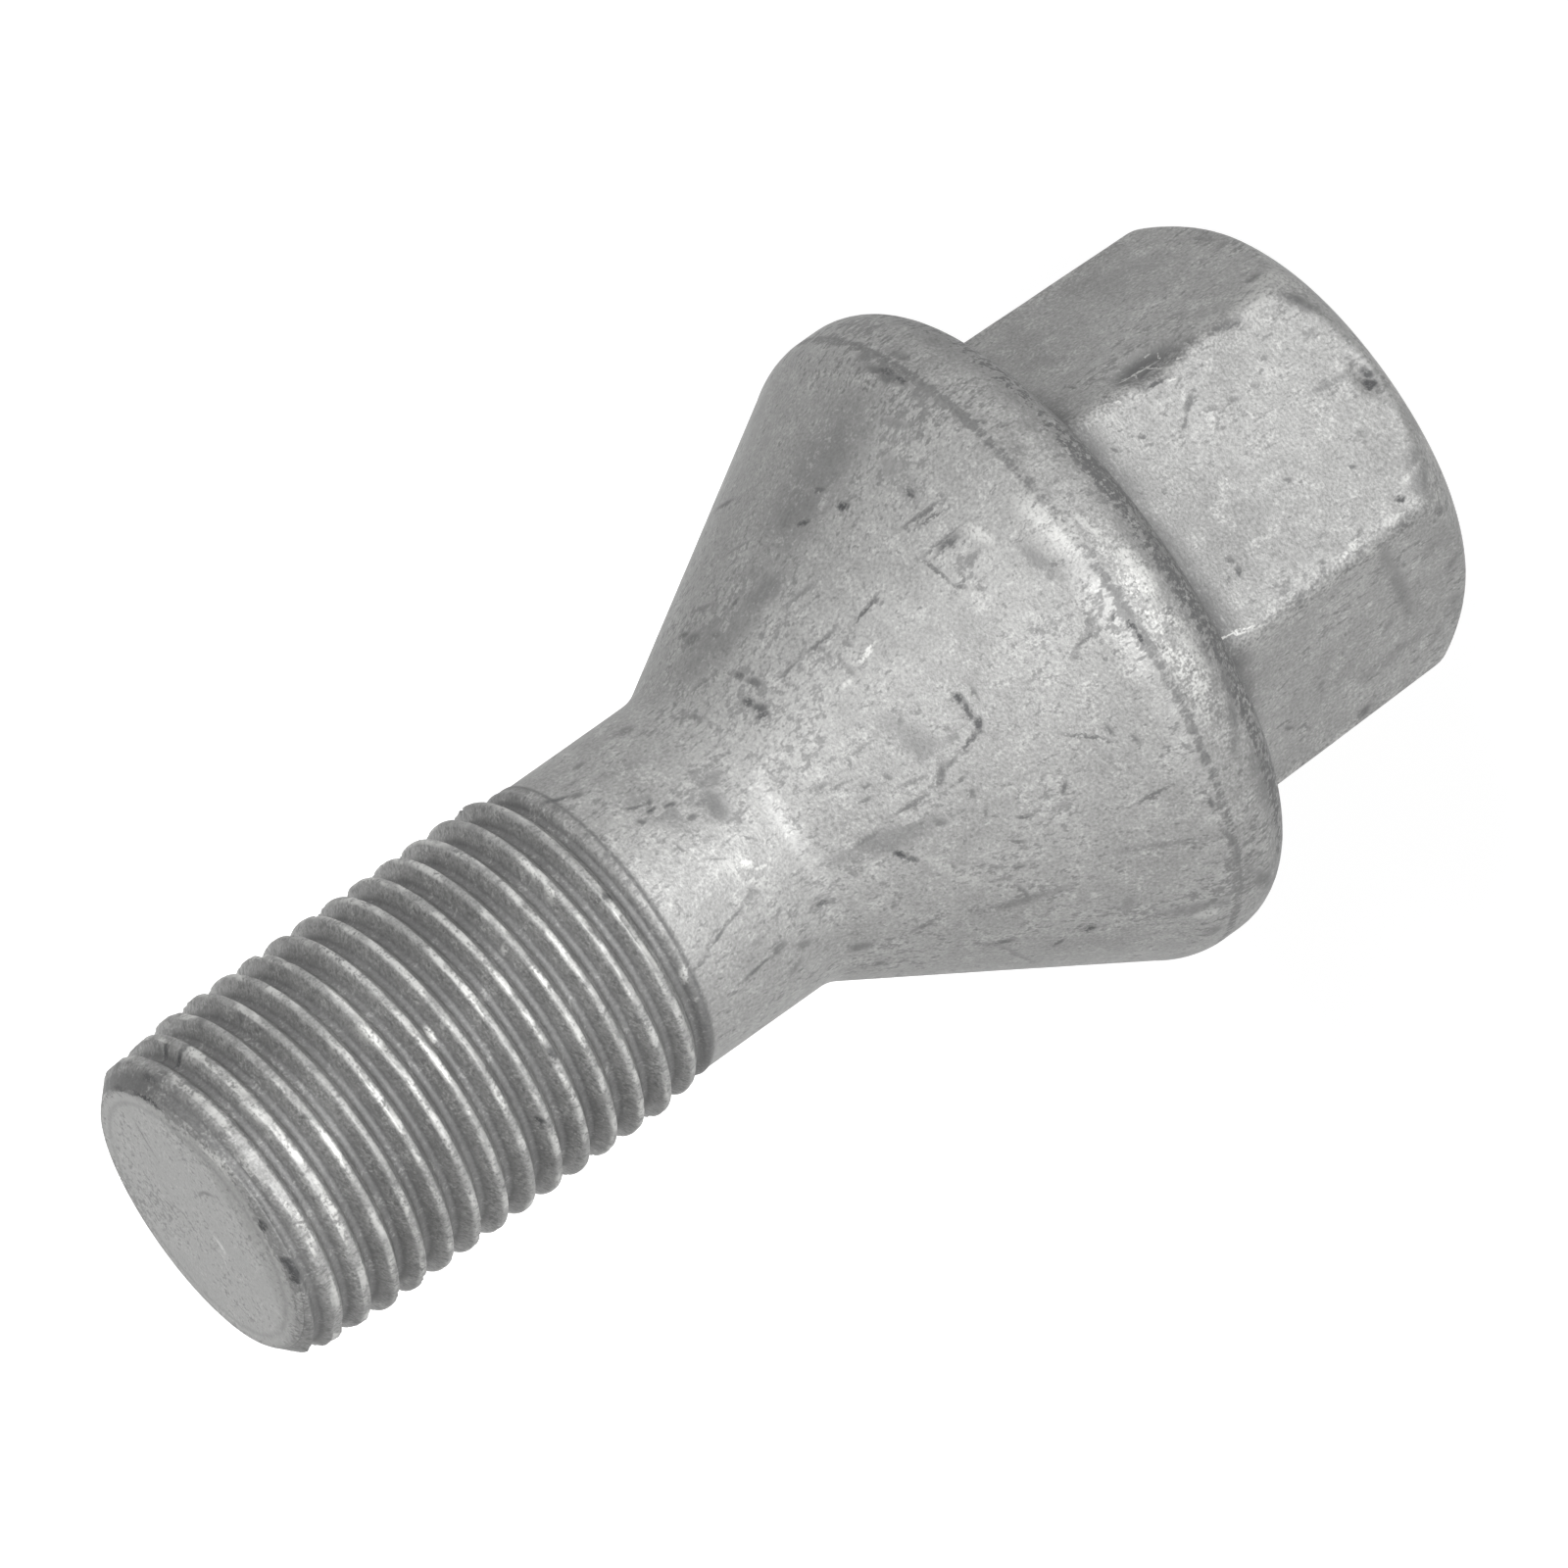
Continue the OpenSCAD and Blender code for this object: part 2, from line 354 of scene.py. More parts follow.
def threadRoller(b, material):
    # rolls the helical groove into the rod and leaves the forging a little uneven
    tree = bpy.data.node_groups.new("threadRoller", "GeometryNodeTree")
    face = tree.interface
    face.new_socket("Geometry", in_out="INPUT", socket_type="NodeSocketGeometry")
    names = ["Pitch", "Crest Radius", "Root Radius", "Crest Width", "Root Width", "Shank Radius",
             "Run-out Height", "Run-out Length", "Groove End", "Burr", "Tip Height", "Tip Face Radius",
             "Tip Chamfer Rise", "Tip Lead Radius", "Tip Lead Rise", "Start Angle", "Crest Dents",
             "Unevenness", "Seed"]
    for name in names:
        face.new_socket(name, in_out="INPUT", socket_type="NodeSocketFloat")
    face.new_socket("Material", in_out="INPUT", socket_type="NodeSocketMaterial")
    face.new_socket("Geometry", in_out="OUTPUT", socket_type="NodeSocketGeometry")
    entry = Wire.node(tree, "NodeGroupInput")
    size = {name: entry.other(name) for name in names}

    place = vector(tree, "SCALE", Wire.node(tree, "GeometryNodeInputPosition"), 1000.0)
    x = Wire.node(tree, "ShaderNodeSeparateXYZ", None, {0: place})
    y, z = x.other("Y"), x.other("Z")
    angle = x.math("ARCTAN2", y, x)
    turn = (z - size["Run-out Height"]) / size["Pitch"] - (angle - size["Start Angle"]) / (2 * math.pi)
    part = turn.math("FRACT", turn)
    fromCrest = abs(part - 0.5) * size["Pitch"]
    half = size["Crest Width"] * 0.5
    flank = size["Pitch"] * 0.5 - size["Root Width"] * 0.5 - half
    tall = 1.0 - ((fromCrest - half) / flank).unit()
    seeded = vector(tree, "ADD", place, join(tree, size["Seed"], size["Seed"] * 1.7, size["Seed"] * 0.3))
    stretched = vector(tree, "MULTIPLY", seeded, (1.0, 1.0, 1.6))
    dent = noise(tree, stretched, 0.55, 5.0, 0.62).rise(0.5, 0.78) * size["Crest Dents"]
    chip = noise(tree, stretched, 2.2, 2.0, 0.5).rise(0.5, 0.8) * size["Crest Dents"] * 0.5
    depth = size["Crest Radius"] - size["Root Radius"]
    radius = (size["Root Radius"] + depth * tall).least(size["Crest Radius"] - dent - chip)
    fromRunOut = z - size["Run-out Height"]
    beside = radius - size["Shank Radius"]
    proudOf = beside.most(0.0) * (fromRunOut / size["Run-out Length"]).rise(0.0, 1.0, False)
    sunk = beside.least(0.0) * (fromRunOut / size["Groove End"]).rise(0.1, 1.0)
    lip = size["Burr"] * fromRunOut.rise(-0.25, 0.0) * (1.0 - fromRunOut.rise(0.08, 0.22))
    radius = size["Shank Radius"] + proudOf + sunk + lip
    toTip = size["Tip Height"] - z
    ragged = (noise(tree, seeded, 0.5, 4.0, 0.6) - 0.5) * 0.5 * toTip.rise(0.1, 0.7)
    chamfer = (size["Tip Face Radius"] + size["Tip Chamfer Rise"] * toTip).least(
        size["Tip Lead Radius"] + size["Tip Lead Rise"] * toTip) + ragged
    radius = radius.least(chamfer)
    turned = join(tree, radius * x.math("COSINE", angle), radius * x.math("SINE", angle), z)
    rolledPlace = vector(tree, "SCALE", turned, 0.001)
    isRolled = Wire.node(tree, "GeometryNodeInputNamedAttribute", {"data_type": "FLOAT"}, {"Name": "rolled"})
    moved = Wire.node(tree, "GeometryNodeSetPosition", None,
                      {"Geometry": entry, "Selection": isRolled * 1.0, "Position": rolledPlace})

    # how high each point stands in the thread, for the finish: 0 off it, from 1 in the root to 2 on a crest
    band = isRolled * (z - size["Run-out Height"]).rise(-0.6, 0.5)
    proud = (1.0 + tall) * band
    kept = Wire.node(tree, "GeometryNodeStoreNamedAttribute", {"data_type": "FLOAT", "domain": "POINT"},
                     {"Geometry": moved, "Name": "threadHeight", "Value": proud})

    uneven = (noise(tree, seeded, 0.16, 3.0, 0.5) + noise(tree, seeded, 0.9, 2.0, 0.5) * 0.35 - 1.05)
    normal = Wire.node(tree, "GeometryNodeInputNormal")
    clearOfEnds = z.rise(0.02, 1.5) * toTip.rise(0.02, 1.0)
    inward = vector(tree, "SCALE", normal, uneven * size["Unevenness"] * 0.001)
    inward = vector(tree, "SCALE", inward, clearOfEnds)
    worn = Wire.node(tree, "GeometryNodeSetPosition", None, {"Geometry": kept, "Offset": inward})
    smooth = Wire.node(tree, "GeometryNodeSetShadeSmooth", None, {"Geometry": worn})
    real = Wire.node(tree, "GeometryNodeRealizeInstances", None, {"Geometry": smooth})
    chosen = entry.other("Material")
    done = Wire.node(tree, "GeometryNodeSetMaterial", None, {"Geometry": real, "Material": chosen})
    Wire.node(tree, "NodeGroupOutput", None, {"Geometry": done})

    z = heights(b)
    values = {
        "Pitch": b["threadPitch"], "Crest Radius": b["threadRadius"], "Root Radius": b["rootRadius"],
        "Crest Width": b["crestWidth"], "Root Width": b["rootWidth"], "Shank Radius": b["shankRadius"],
        "Run-out Height": z["runOut"], "Run-out Length": b["runOutLength"], "Groove End": b["grooveEnd"],
        "Burr": b["burr"], "Tip Height": z["tip"],
        "Tip Face Radius": b["tipFaceRadius"], "Tip Chamfer Rise": b["tipChamferRise"],
        "Tip Lead Radius": b["tipLeadRadius"], "Tip Lead Rise": b["tipLeadRise"],
        "Start Angle": math.radians(b["threadStart"]), "Crest Dents": b["crestDents"],
        "Unevenness": b["forgeUnevenness"], "Seed": float(b["seed"]), "Material": material,
    }
    return tree, values


def applyTree(name, mesh, tree, values):
    carrier = bpy.data.objects.new(name + "Blank", mesh)
    bpy.context.scene.collection.objects.link(carrier)
    modifier = carrier.modifiers.new("nodes", "NODES")
    modifier.node_group = tree
    for item in tree.interface.items_tree:
        if item.item_type == "SOCKET" and item.in_out == "INPUT" and item.name in values:
            modifier[item.identifier] = values[item.name]
    bpy.context.view_layer.update()
    evaluated = carrier.evaluated_get(bpy.context.evaluated_depsgraph_get())
    made = bpy.data.meshes.new_from_object(evaluated)
    made.name = name
    carrier.modifiers.remove(modifier)
    bpy.data.objects.remove(carrier)
    piece = bpy.data.objects.new(name, made)
    bpy.context.scene.collection.objects.link(piece)
    return piece


# How the bolt lies in the photo, in pixels: the scale, the middle that level picks are turned about, and how
# far from there along the axis the end of the head is. In millimetres: how deep under the crests the picks
# meet the thread, and the least widths of a spot and a line
photo = {
    "pixelsPerMm": 23.65,
    "middle": (857.45, 778.27),
    "headEnd": 616.56,
    "threadInset": 0.15,
    "leastSpot": 0.15,
    "leastLine": 0.12,
}

# Marks of handling, and broad faint smudges of painted shade on the upper side of the cone, each picked in
# the photo: x and y of both ends, width and strength. Level picks run along the bolt's axis and across it
# from the photo's middle, and photo picks are in the photo as it is.
# Sheet marks lie on the sheet itself: across and up, half length, half width, lean in degrees, strength
dirtAndShadePicks = {
    "level": (
        # cone
        (-35, -136, -30, -128, 9, 0.7), (-27, -122, -22, -112, 12, 0.65), (-44, -108, -38, -98, 12, 0.8),
        (-38, -96, -32, -90, 12, 0.75), (-40, -86, -34, -84, 9, 0.8), (-10, -104, 30, -110, 5, 0.55),
        (30, -110, 75, -113, 5, 0.6), (92, -106, 132, -118, 5, 0.7), (50, -100, 52, -90, 7, 0.4),
        (75, -100, 78, -88, 7, 0.4), (60, -80, 62, -62, 8, 0.35), (103, -223, 118, -218, 8, 0.8),
        (150, -212, 156, -210, 10, 0.9), (213, -190, 216, -176, 10, 0.75), (105, 283, 113, 286, 7, 0.8),
        (-6, 106, -3, 116, 9, 0.9), (-3, 117, 6, 126, 6, 0.7), (132, 10, 137, 20, 9, 0.85),
        (137, 20, 136, 44, 7, 0.75), (140, 44, 134, 56, 9, 0.8), (134, 54, 104, 62, 6, 0.7),
        (100, 63, 80, 66, 7, 0.5), (85, 60, 62, 80, 11, 0.6), (60, 78, 10, 75, 6, 0.55),
        (0, 80, -45, 78, 6, 0.45), (28, 56, 62, 60, 6, 0.45), (78, 84, 96, 85, 4, 0.5),
        (184, -157, 240, -157, 6, 0.6), (200, -151, 236, -147, 4, 0.6), (186, -122, 240, -125, 5, 0.55),
        (204, -117, 230, -119, 9, 0.7), (185, -122, 196, -84, 5, 0.6), (196, -82, 206, -70, 5, 0.6),
        (206, -90, 242, -93, 9, 0.45), (212, -84, 204, -74, 4, 0.5), (198, 106, 236, 139, 3, 0.6),
        (214, 207, 262, 213, 3, 0.55), (14, 238, 40, 250, 5, 0.6), (20, -240, 60, -236, 3, 0.3),
        # painted shade: the three broad faint smudges on this line darken the upper side of the cone
        (10, -195, 75, -190, 34, 0.28), (95, -238, 125, -228, 18, 0.35), (165, -268, 235, -258, 34, 0.28),
        (-60, -200, -50, -196, 6, 0.6), (-54, -192, -46, -188, 11, 0.55), (-32, -182, -26, -176, 10, 0.5),
        (-30, -212, -10, -206, 5, 0.35), (136, -242, 148, -236, 9, 0.65), (0, -193, 14, -197, 5, 0.6),
        (45, -285, 68, -281, 5, 0.5), (40, -160, 90, -164, 6, 0.4), (-80, -147, -60, -146, 5, 0.5),
        (165, 156, 175, 148, 7, 0.6), (146, 166, 163, 166, 8, 0.4), (112, 150, 128, 155, 4, 0.6),
        (92, 163, 108, 175, 4, 0.5), (74, 204, 78, 226, 5, 0.45), (70, 280, 82, 278, 4, 0.6),
        (80, 188, 92, 194, 5, 0.6), (240, 122, 243, 138, 6, 0.5), (256, 148, 260, 158, 6, 0.5),
        (-36, 8, -24, 10, 7, 0.45), (-26, 16, -6, 20, 5, 0.4), (5, 12, 8, 0, 4, 0.45),
        (5, 0, 36, 0, 4, 0.4), (5, 34, 12, 36, 6, 0.5), (28, 32, 32, 44, 7, 0.45), (-10, 45, 6, 46, 4, 0.5),
        (66, 10, 80, -8, 5, 0.4), (42, 104, 52, 112, 10, 0.45), (88, 108, 94, 100, 8, 0.5),
        (28, 98, 36, 98, 5, 0.45), (70, 110, 76, 112, 5, 0.45), (88, 130, 94, 122, 5, 0.4),
        (30, 146, 34, 156, 5, 0.4), (56, 140, 60, 134, 5, 0.35), (233, 3, 243, 8, 5, 0.5),
        (250, 54, 262, 48, 5, 0.45), (206, 46, 216, 44, 6, 0.35), (268, 10, 276, 12, 4, 0.4),
        (-100, 105, -96, 107, 8, 0.75), (-75, 12, -72, 24, 5, 0.4), (-100, 163, -82, 168, 8, 0.45),
        (-95, 187, -82, 191, 5, 0.5), (-40, 183, -15, 186, 4, 0.45), (0, 286, 4, 284, 4, 0.4),
        (150, 290, 160, 285, 12, 0.25), (20, 200, 28, 204, 4, 0.4),
        # shank
        (-270, -146, -242, -131, 4, 0.65), (-240, -129, -236, -127, 7, 0.5), (-208, -89, -186, -79, 4, 0.6),
        (-186, -80, -178, -80, 6, 0.6), (-186, -72, -181, -71, 6, 0.8), (-201, -69, -197, -67, 7, 0.6),
        (-168, -66, -163, -64, 6, 0.7), (-128, -62, -114, -62, 18, 0.45), (-160, -42, -150, -42, 7, 0.6),
        (-146, -50, -126, -48, 8, 0.5), (-125, -72, -105, -74, 7, 0.35), (-160, -74, -130, -77, 4, 0.35),
        (-216, 77, -190, 68, 4, 0.6), (-190, 68, -164, 61, 4, 0.5), (-164, 60, -146, 54, 6, 0.35),
        (-150, 50, -142, 60, 5, 0.4), (-212, 125, -170, 119, 4, 0.6), (-168, 120, -154, 116, 9, 0.5),
        (-186, -34, -180, -12, 3, 0.45), (-160, -16, -146, -10, 8, 0.3), (-170, 0, -152, 12, 2, 0.45),
        (-128, 2, -114, 14, 3, 0.45), (-164, 146, -150, 140, 7, 0.35), (-140, 128, -134, 130, 8, 0.4),
        (-219, 16, -218, 30, 4, 0.4), (-238, 85, -232, 84, 3, 0.5), (-222, -150, -214, -152, 6, 0.4),
        (-244, -142, -228, -140, 3, 0.4), (-210, -130, -160, -118, 12, 0.2),
        (-165, -155, -158, -152, 8, 0.4), (-95, -128, -92, -120, 7, 0.5), (-110, 118, -100, 112, 5, 0.35),
        (-184, 100, -170, 98, 6, 0.25),
        # flange and shoulder
        (262, -305, 272, -290, 12, 0.75), (272, -288, 276, -276, 8, 0.8), (255, -325, 268, -318, 12, 0.45),
        (282, -312, 292, -296, 12, 0.4), (240, -300, 256, -310, 16, 0.3), (308, -240, 318, -238, 4, 0.5),
        (286, -254, 296, -256, 4, 0.35), (310, -204, 322, -196, 4, 0.5), (325, -155, 340, -150, 14, 0.25),
        (318, 52, 321, 64, 7, 0.95), (320, 66, 319, 78, 6, 0.9), (306, 42, 314, 36, 7, 0.7),
        (262, 44, 286, 38, 8, 0.6), (250, 48, 262, 44, 4, 0.4), (288, -42, 296, -36, 8, 0.5),
        (324, -40, 330, -30, 6, 0.6), (305, 28, 312, 24, 4, 0.3), (342, 205, 358, 180, 12, 0.45),
        (358, 180, 376, 146, 14, 0.5), (365, 160, 372, 140, 8, 0.5), (330, 222, 342, 212, 12, 0.35),
        (340, 262, 328, 284, 16, 0.45), (352, 236, 346, 256, 10, 0.4), (374, -120, 378, -96, 12, 0.45),
        (284, 244, 282, 256, 6, 0.6), (276, 280, 278, 292, 6, 0.5), (262, 306, 258, 322, 8, 0.5),
        (290, 344, 282, 352, 8, 0.4), (205, 358, 218, 362, 8, 0.4), (348, 112, 356, 122, 8, 0.35),
        (366, 70, 372, 90, 10, 0.4), (376, 28, 380, 60, 8, 0.4), (376, -62, 382, -52, 8, 0.5),
        (328, 88, 334, 92, 6, 0.4), (200, 46, 214, 42, 5, 0.3),
        # hexagon
        (450, -150, 470, -152, 16, 0.6), (470, -154, 498, -150, 24, 0.65), (498, -150, 518, -148, 22, 0.6),
        (452, -138, 474, -134, 6, 0.5), (470, -132, 500, -128, 5, 0.75), (500, -130, 522, -134, 5, 0.6),
        (518, -146, 545, -142, 16, 0.5), (545, -140, 592, -134, 11, 0.5), (578, -133, 594, -131, 6, 0.6),
        (642, -128, 660, -108, 14, 0.55), (652, -112, 666, -94, 10, 0.5), (622, -160, 640, -158, 8, 0.45),
        (600, -126, 640, -112, 4, 0.2), (480, -74, 494, -86, 5, 0.5), (494, -88, 510, -100, 7, 0.55),
        (508, -78, 524, -72, 7, 0.4), (514, -66, 520, -58, 6, 0.4), (538, -72, 546, -68, 6, 0.35),
        (410, -100, 412, -96, 6, 0.6), (440, -94, 444, -92, 5, 0.6), (586, -86, 594, -86, 7, 0.45),
        (562, -70, 570, -68, 6, 0.35), (636, -82, 650, -80, 8, 0.35), (664, -8, 672, 2, 12, 0.95),
        (668, -20, 674, -8, 10, 0.85), (662, 0, 666, 2, 7, 0.8), (440, 58, 446, 66, 7, 0.5),
        (440, 80, 446, 72, 6, 0.65), (430, 76, 432, 76, 5, 0.45), (538, 28, 540, 30, 5, 0.5),
        (598, 55, 602, 58, 6, 0.6), (619, 110, 624, 112, 7, 0.85), (552, -41, 556, -40, 5, 0.4),
        (408, -46, 410, -46, 4, 0.5), (426, -34, 430, -34, 4, 0.4), (622, 30, 634, 36, 8, 0.3),
        (634, 46, 642, 46, 6, 0.3), (460, 120, 478, 116, 12, 0.35), (462, 106, 468, 112, 5, 0.4),
        (528, 96, 540, 96, 5, 0.35), (516, 116, 520, 118, 5, 0.45), (515, 132, 548, 140, 8, 0.45),
        (548, 138, 560, 130, 7, 0.4), (562, 118, 572, 112, 6, 0.4), (600, 136, 640, 132, 16, 0.45),
        (636, 118, 662, 98, 18, 0.35), (650, 92, 664, 80, 10, 0.35), (640, 140, 652, 146, 9, 0.5),
        (470, 142, 476, 143, 4, 0.8), (424, 140, 440, 142, 4, 0.3), (412, -178, 416, -172, 4, 0.5),
        (396, -150, 402, -148, 5, 0.5), (536, -176, 552, -170, 7, 0.4), (610, -228, 622, -216, 9, 0.35),
        (620, -208, 634, -204, 6, 0.3), (508, -240, 560, -232, 26, 0.14), (556, -252, 570, -250, 6, 0.2),
        (462, 270, 478, 266, 6, 0.5), (392, 234, 400, 240, 5, 0.45), (408, 246, 412, 250, 6, 0.35),
        (528, 214, 548, 206, 7, 0.3), (596, 236, 616, 226, 14, 0.3), (620, 200, 640, 190, 8, 0.3),
        (560, 254, 590, 238, 8, 0.22), (612, 170, 640, 166, 14, 0.2), (506, 170, 512, 172, 4, 0.3),
        (480, 206, 484, 206, 4, 0.3), (440, 222, 452, 218, 5, 0.25),
        # thread and tip
        (-274, -32, -270, -22, 7, 0.9), (-408, 64, -405, 76, 8, 0.75), (-404, -12, -402, -8, 6, 0.5),
        (-754, 38, -750, 54, 13, 0.9), (-746, 84, -744, 92, 9, 0.85), (-749, 104, -747, 114, 9, 0.85),
        (-746, -174, -736, -164, 5, 0.85), (-735, -163, -716, -165, 5, 0.75),
        (-770, -130, -766, -105, 5, 0.65), (-766, -105, -762, -92, 6, 0.5), (-760, -48, -758, -36, 8, 0.5),
        (-782, -145, -774, -140, 9, 0.5), (-764, 60, -762, 72, 8, 0.5), (-738, -148, -734, -140, 7, 0.6),
        (-722, -122, -716, -112, 9, 0.5), (-680, -162, -678, -156, 7, 0.5), (-616, -60, -613, -56, 6, 0.6),
        (-648, -24, -645, -18, 6, 0.6), (-640, -145, -636, -140, 7, 0.4), (-608, 104, -602, 98, 5, 0.6),
        (-596, 56, -594, 64, 4, 0.6), (-632, 162, -628, 164, 7, 0.5), (-362, 10, -360, 14, 4, 0.6),
        (-366, -34, -364, -30, 4, 0.6),
    ),
    "photo": (
        (140, 1106, 176, 1136, 5, 0.9), (205, 1060, 176, 1076, 5, 0.9), (150, 1090, 170, 1100, 7, 0.7),
        (560, 1066, 570, 1076, 6, 1), (620, 910, 628, 916, 6, 0.9), (552, 1138, 558, 1142, 6, 0.8),
        # painted shade: the three broad smudges on this line darken the upper side of the cone
        (790, 560, 870, 425, 62, 0.38), (700, 690, 790, 575, 50, 0.34), (760, 620, 800, 590, 30, 0.45),
        (880, 375, 925, 395, 16, 0.6), (885, 372, 950, 410, 26, 0.45), (905, 470, 935, 520, 30, 0.3),
        (1040, 560, 1075, 590, 18, 0.3), (905, 735, 985, 800, 34, 0.3), (850, 880, 960, 835, 26, 0.35),
        (715, 805, 742, 835, 24, 0.5), (645, 815, 700, 840, 30, 0.35), (1225, 640, 1260, 700, 18, 0.4),
        (1235, 720, 1290, 800, 22, 0.35), (1100, 440, 1150, 520, 14, 0.45),
        (1150, 520, 1200, 600, 12, 0.45), (990, 700, 998, 725, 8, 0.5), (1260, 880, 1300, 900, 18, 0.35),
        (1175, 935, 1260, 915, 12, 0.35), (900, 430, 930, 440, 12, 0.4), (1000, 930, 1090, 905, 9, 0.35),
        (1130, 870, 1250, 850, 8, 0.3), (960, 760, 1010, 730, 10, 0.4), (1330, 405, 1380, 380, 10, 0.35),
        (1410, 560, 1440, 620, 20, 0.35), (1395, 690, 1450, 650, 12, 0.3),
    ),
    "sheet": (
        (5.95, 8.85, 1.8, 0.95, 86, 0.62), (2, 66.4, 1.5, 0.2, 30, 0.4), (14, 65.6, 1.1, 0.2, 70, 0.4),
        (-2.95, 62.9, 0.6, 0.15, 0, 1), (-6.55, 62.6, 0.95, 0.2, 3, 1), (13.3, 63, 2.05, 0.1, 0, 0.7),
        (-14, 26.75, 2.1, 0.15, 34, 0.3),
    ),
}
barePicks = {
    "level": (
        (72, -72, 100, -79, 6, 0.9), (44, -60, 58, -62, 6, 0.5), (206, 338, 224, 342, 10, 0.45),
        (-142, 24, -134, 32, 9, 0.8), (-134, 38, -120, 42, 5, 0.6), (-128, 34, -112, 40, 8, 0.35),
        (110, 248, 118, 248, 5, 0.4), (130, 258, 136, 262, 5, 0.4), (460, -156, 474, -150, 2, 0.7),
        (470, -160, 486, -150, 2, 0.6), (478, -148, 500, -144, 2, 0.7), (486, -158, 506, -148, 2, 0.6),
        (464, -148, 484, -140, 2, 0.6), (500, -140, 516, -134, 3, 0.5), (480, -140, 504, -134, 3, 0.5),
        (504, -156, 516, -158, 2, 0.5), (452, -146, 460, -150, 2, 0.5), (550, 122, 560, 120, 8, 0.6),
        (536, 126, 548, 124, 5, 0.5), (440, -137, 446, -135, 3, 0.6), (496, -124, 506, -122, 4, 0.7),
        (498, -100, 506, -106, 5, 0.4), (630, 100, 644, 96, 6, 0.4), (600, 128, 612, 124, 3, 0.4),
        (590, -146, 640, -140, 22, 0.3), (620, -150, 655, -146, 18, 0.35), (545, -150, 590, -150, 10, 0.2),
        (396, -152, 420, -150, 8, 0.25), (-757, -88, -752, -60, 10, 0.45), (-750, -62, -743, -15, 11, 0.9),
        (-746, -14, -742, 0, 9, 0.5), (-726, -30, -720, 12, 14, 0.4), (-722, -98, -716, -86, 9, 0.4),
        (-555, -118, -548, -72, 9, 0.85), (-547, -56, -543, -32, 13, 0.85), (-689, -72, -680, -34, 9, 0.7),
        (-583, -76, -580, -46, 9, 0.45), (-709, -152, -698, -128, 15, 0.35),
        (-698, -128, -686, -98, 13, 0.3), (-307, -30, -302, -20, 8, 0.7), (-348, -60, -338, -34, 9, 0.45),
        (-344, 98, -348, 124, 9, 0.45), (-636, 8, -640, 26, 8, 0.5), (-520, -100, -514, -70, 9, 0.45),
        (-372, 40, -375, 66, 9, 0.4), (-335, -146, -330, -140, 6, 0.5), (-649, 96, -654, 108, 8, 0.4),
    ),
    "photo": (
        (336, 1000, 368, 1036, 11, 1), (370, 1044, 396, 1066, 12, 1), (196, 1064, 214, 1079, 8, 0.8),
        (206, 1158, 244, 1200, 14, 0.8), (531, 875, 552, 897, 8, 0.9), (560, 905, 566, 915, 8, 0.9),
        (516, 962, 520, 968, 6, 0.8), (440, 1040, 452, 1060, 8, 0.9), (625, 920, 634, 936, 7, 0.9),
        (700, 985, 706, 1004, 6, 0.8), (1040, 515, 1100, 560, 34, 0.35), (1140, 560, 1175, 610, 22, 0.5),
        (1200, 650, 1225, 680, 14, 0.4), (985, 540, 1010, 555, 14, 0.4), (935, 870, 1000, 905, 12, 0.2),
        (735, 880, 790, 905, 20, 0.35), (1090, 525, 1130, 555, 10, 0.4), (1225, 935, 1245, 928, 8, 0.5),
    ),
    "sheet": (
        (-12, 68.1, 2.2, 0.35, 10, 0.6), (-16, 67.8, 1.6, 0.2, 20, 0.5), (5.9, 9.3, 1.1, 0.09, 84, 0.9),
        (6.6, 8.9, 0.9, 0.07, 84, 0.7), (6.4, 8.2, 0.5, 0.06, 110, 0.6), (6.5, 9.6, 0.5, 0.06, 60, 0.6),
        (5.6, 8.7, 0.6, 0.06, 20, 0.8), (6, 9.3, 0.6, 0.06, -35, 0.8), (5.8, 8.1, 0.5, 0.05, -30, 0.8),
        (6.2, 9.9, 0.5, 0.05, 25, 0.7), (5.2, 7.9, 0.5, 0.08, 70, 0.8),
        (-4.9, 12.95, 1.75, 0.06, -105, 0.8),
    ),
}


# Zinc flake coating: colours are linear, lengths in millimetres
coating = {
    "cut": (0.52, 0.52, 0.51),
    "light": (0.42, 0.42, 0.413),
    "dark": (0.2, 0.2, 0.197),
    # dark colour of dirt, used as well for painted shade
    "grime": (0.075, 0.076, 0.078),
    "bare": (0.72, 0.72, 0.7),
    "metallic": 0.45,
    "roughness": 0.56,
    "grainDepth": 0.02,
    "bandWornFrom": -7.5,
    "bandWornTo": 0.5,
    "bandWornFront": -8.0,
}


def unrolledPlace(tree, b, place, shakeAcross, shakeUp):
    # across and up on the sheet, and a one for the marks' sums; shaken a little, so that no mark is clean
    x = Wire.node(tree, "ShaderNodeSeparateXYZ", None, {0: place})
    y, z = x.other("Y"), x.other("Z")
    inward = (b["tipFaceRadius"] - x.math("SQRT", x * x + y * y)).most(0.0)
    up = z + inward * (z.rise(heights(b)["seat"], heights(b)["runOut"]) * 2.0 - 1.0)
    return join(tree, x.math("ARCTAN2", x, y * -1.0) * sheetRadius + shakeAcross, up + shakeUp, 1.0)


def markSums(mark):
    # two sums over (across, up, 1) that run from -1 to 1 along and beside a mark
    across, up, halfLength, halfWidth, lean, strength = mark
    c, s = math.cos(math.radians(lean)), math.sin(math.radians(lean))
    return (np.array((c, s, -c * across - s * up)) / halfLength,
            np.array((-s, c, s * across - c * up)) / halfWidth)


def levelPick(pick, roll):
    # a pick from the upright photo, turned so that the bolt's axis lies level
    c, s = math.cos(math.radians(roll)), math.sin(math.radians(roll))
    ends = []
    for x, y in (pick[:2], pick[2:4]):
        x, y = x - photo["middle"][0], y - photo["middle"][1]
        ends += [x * c - y * s, x * s + y * c]
    return (*ends, *pick[4:])


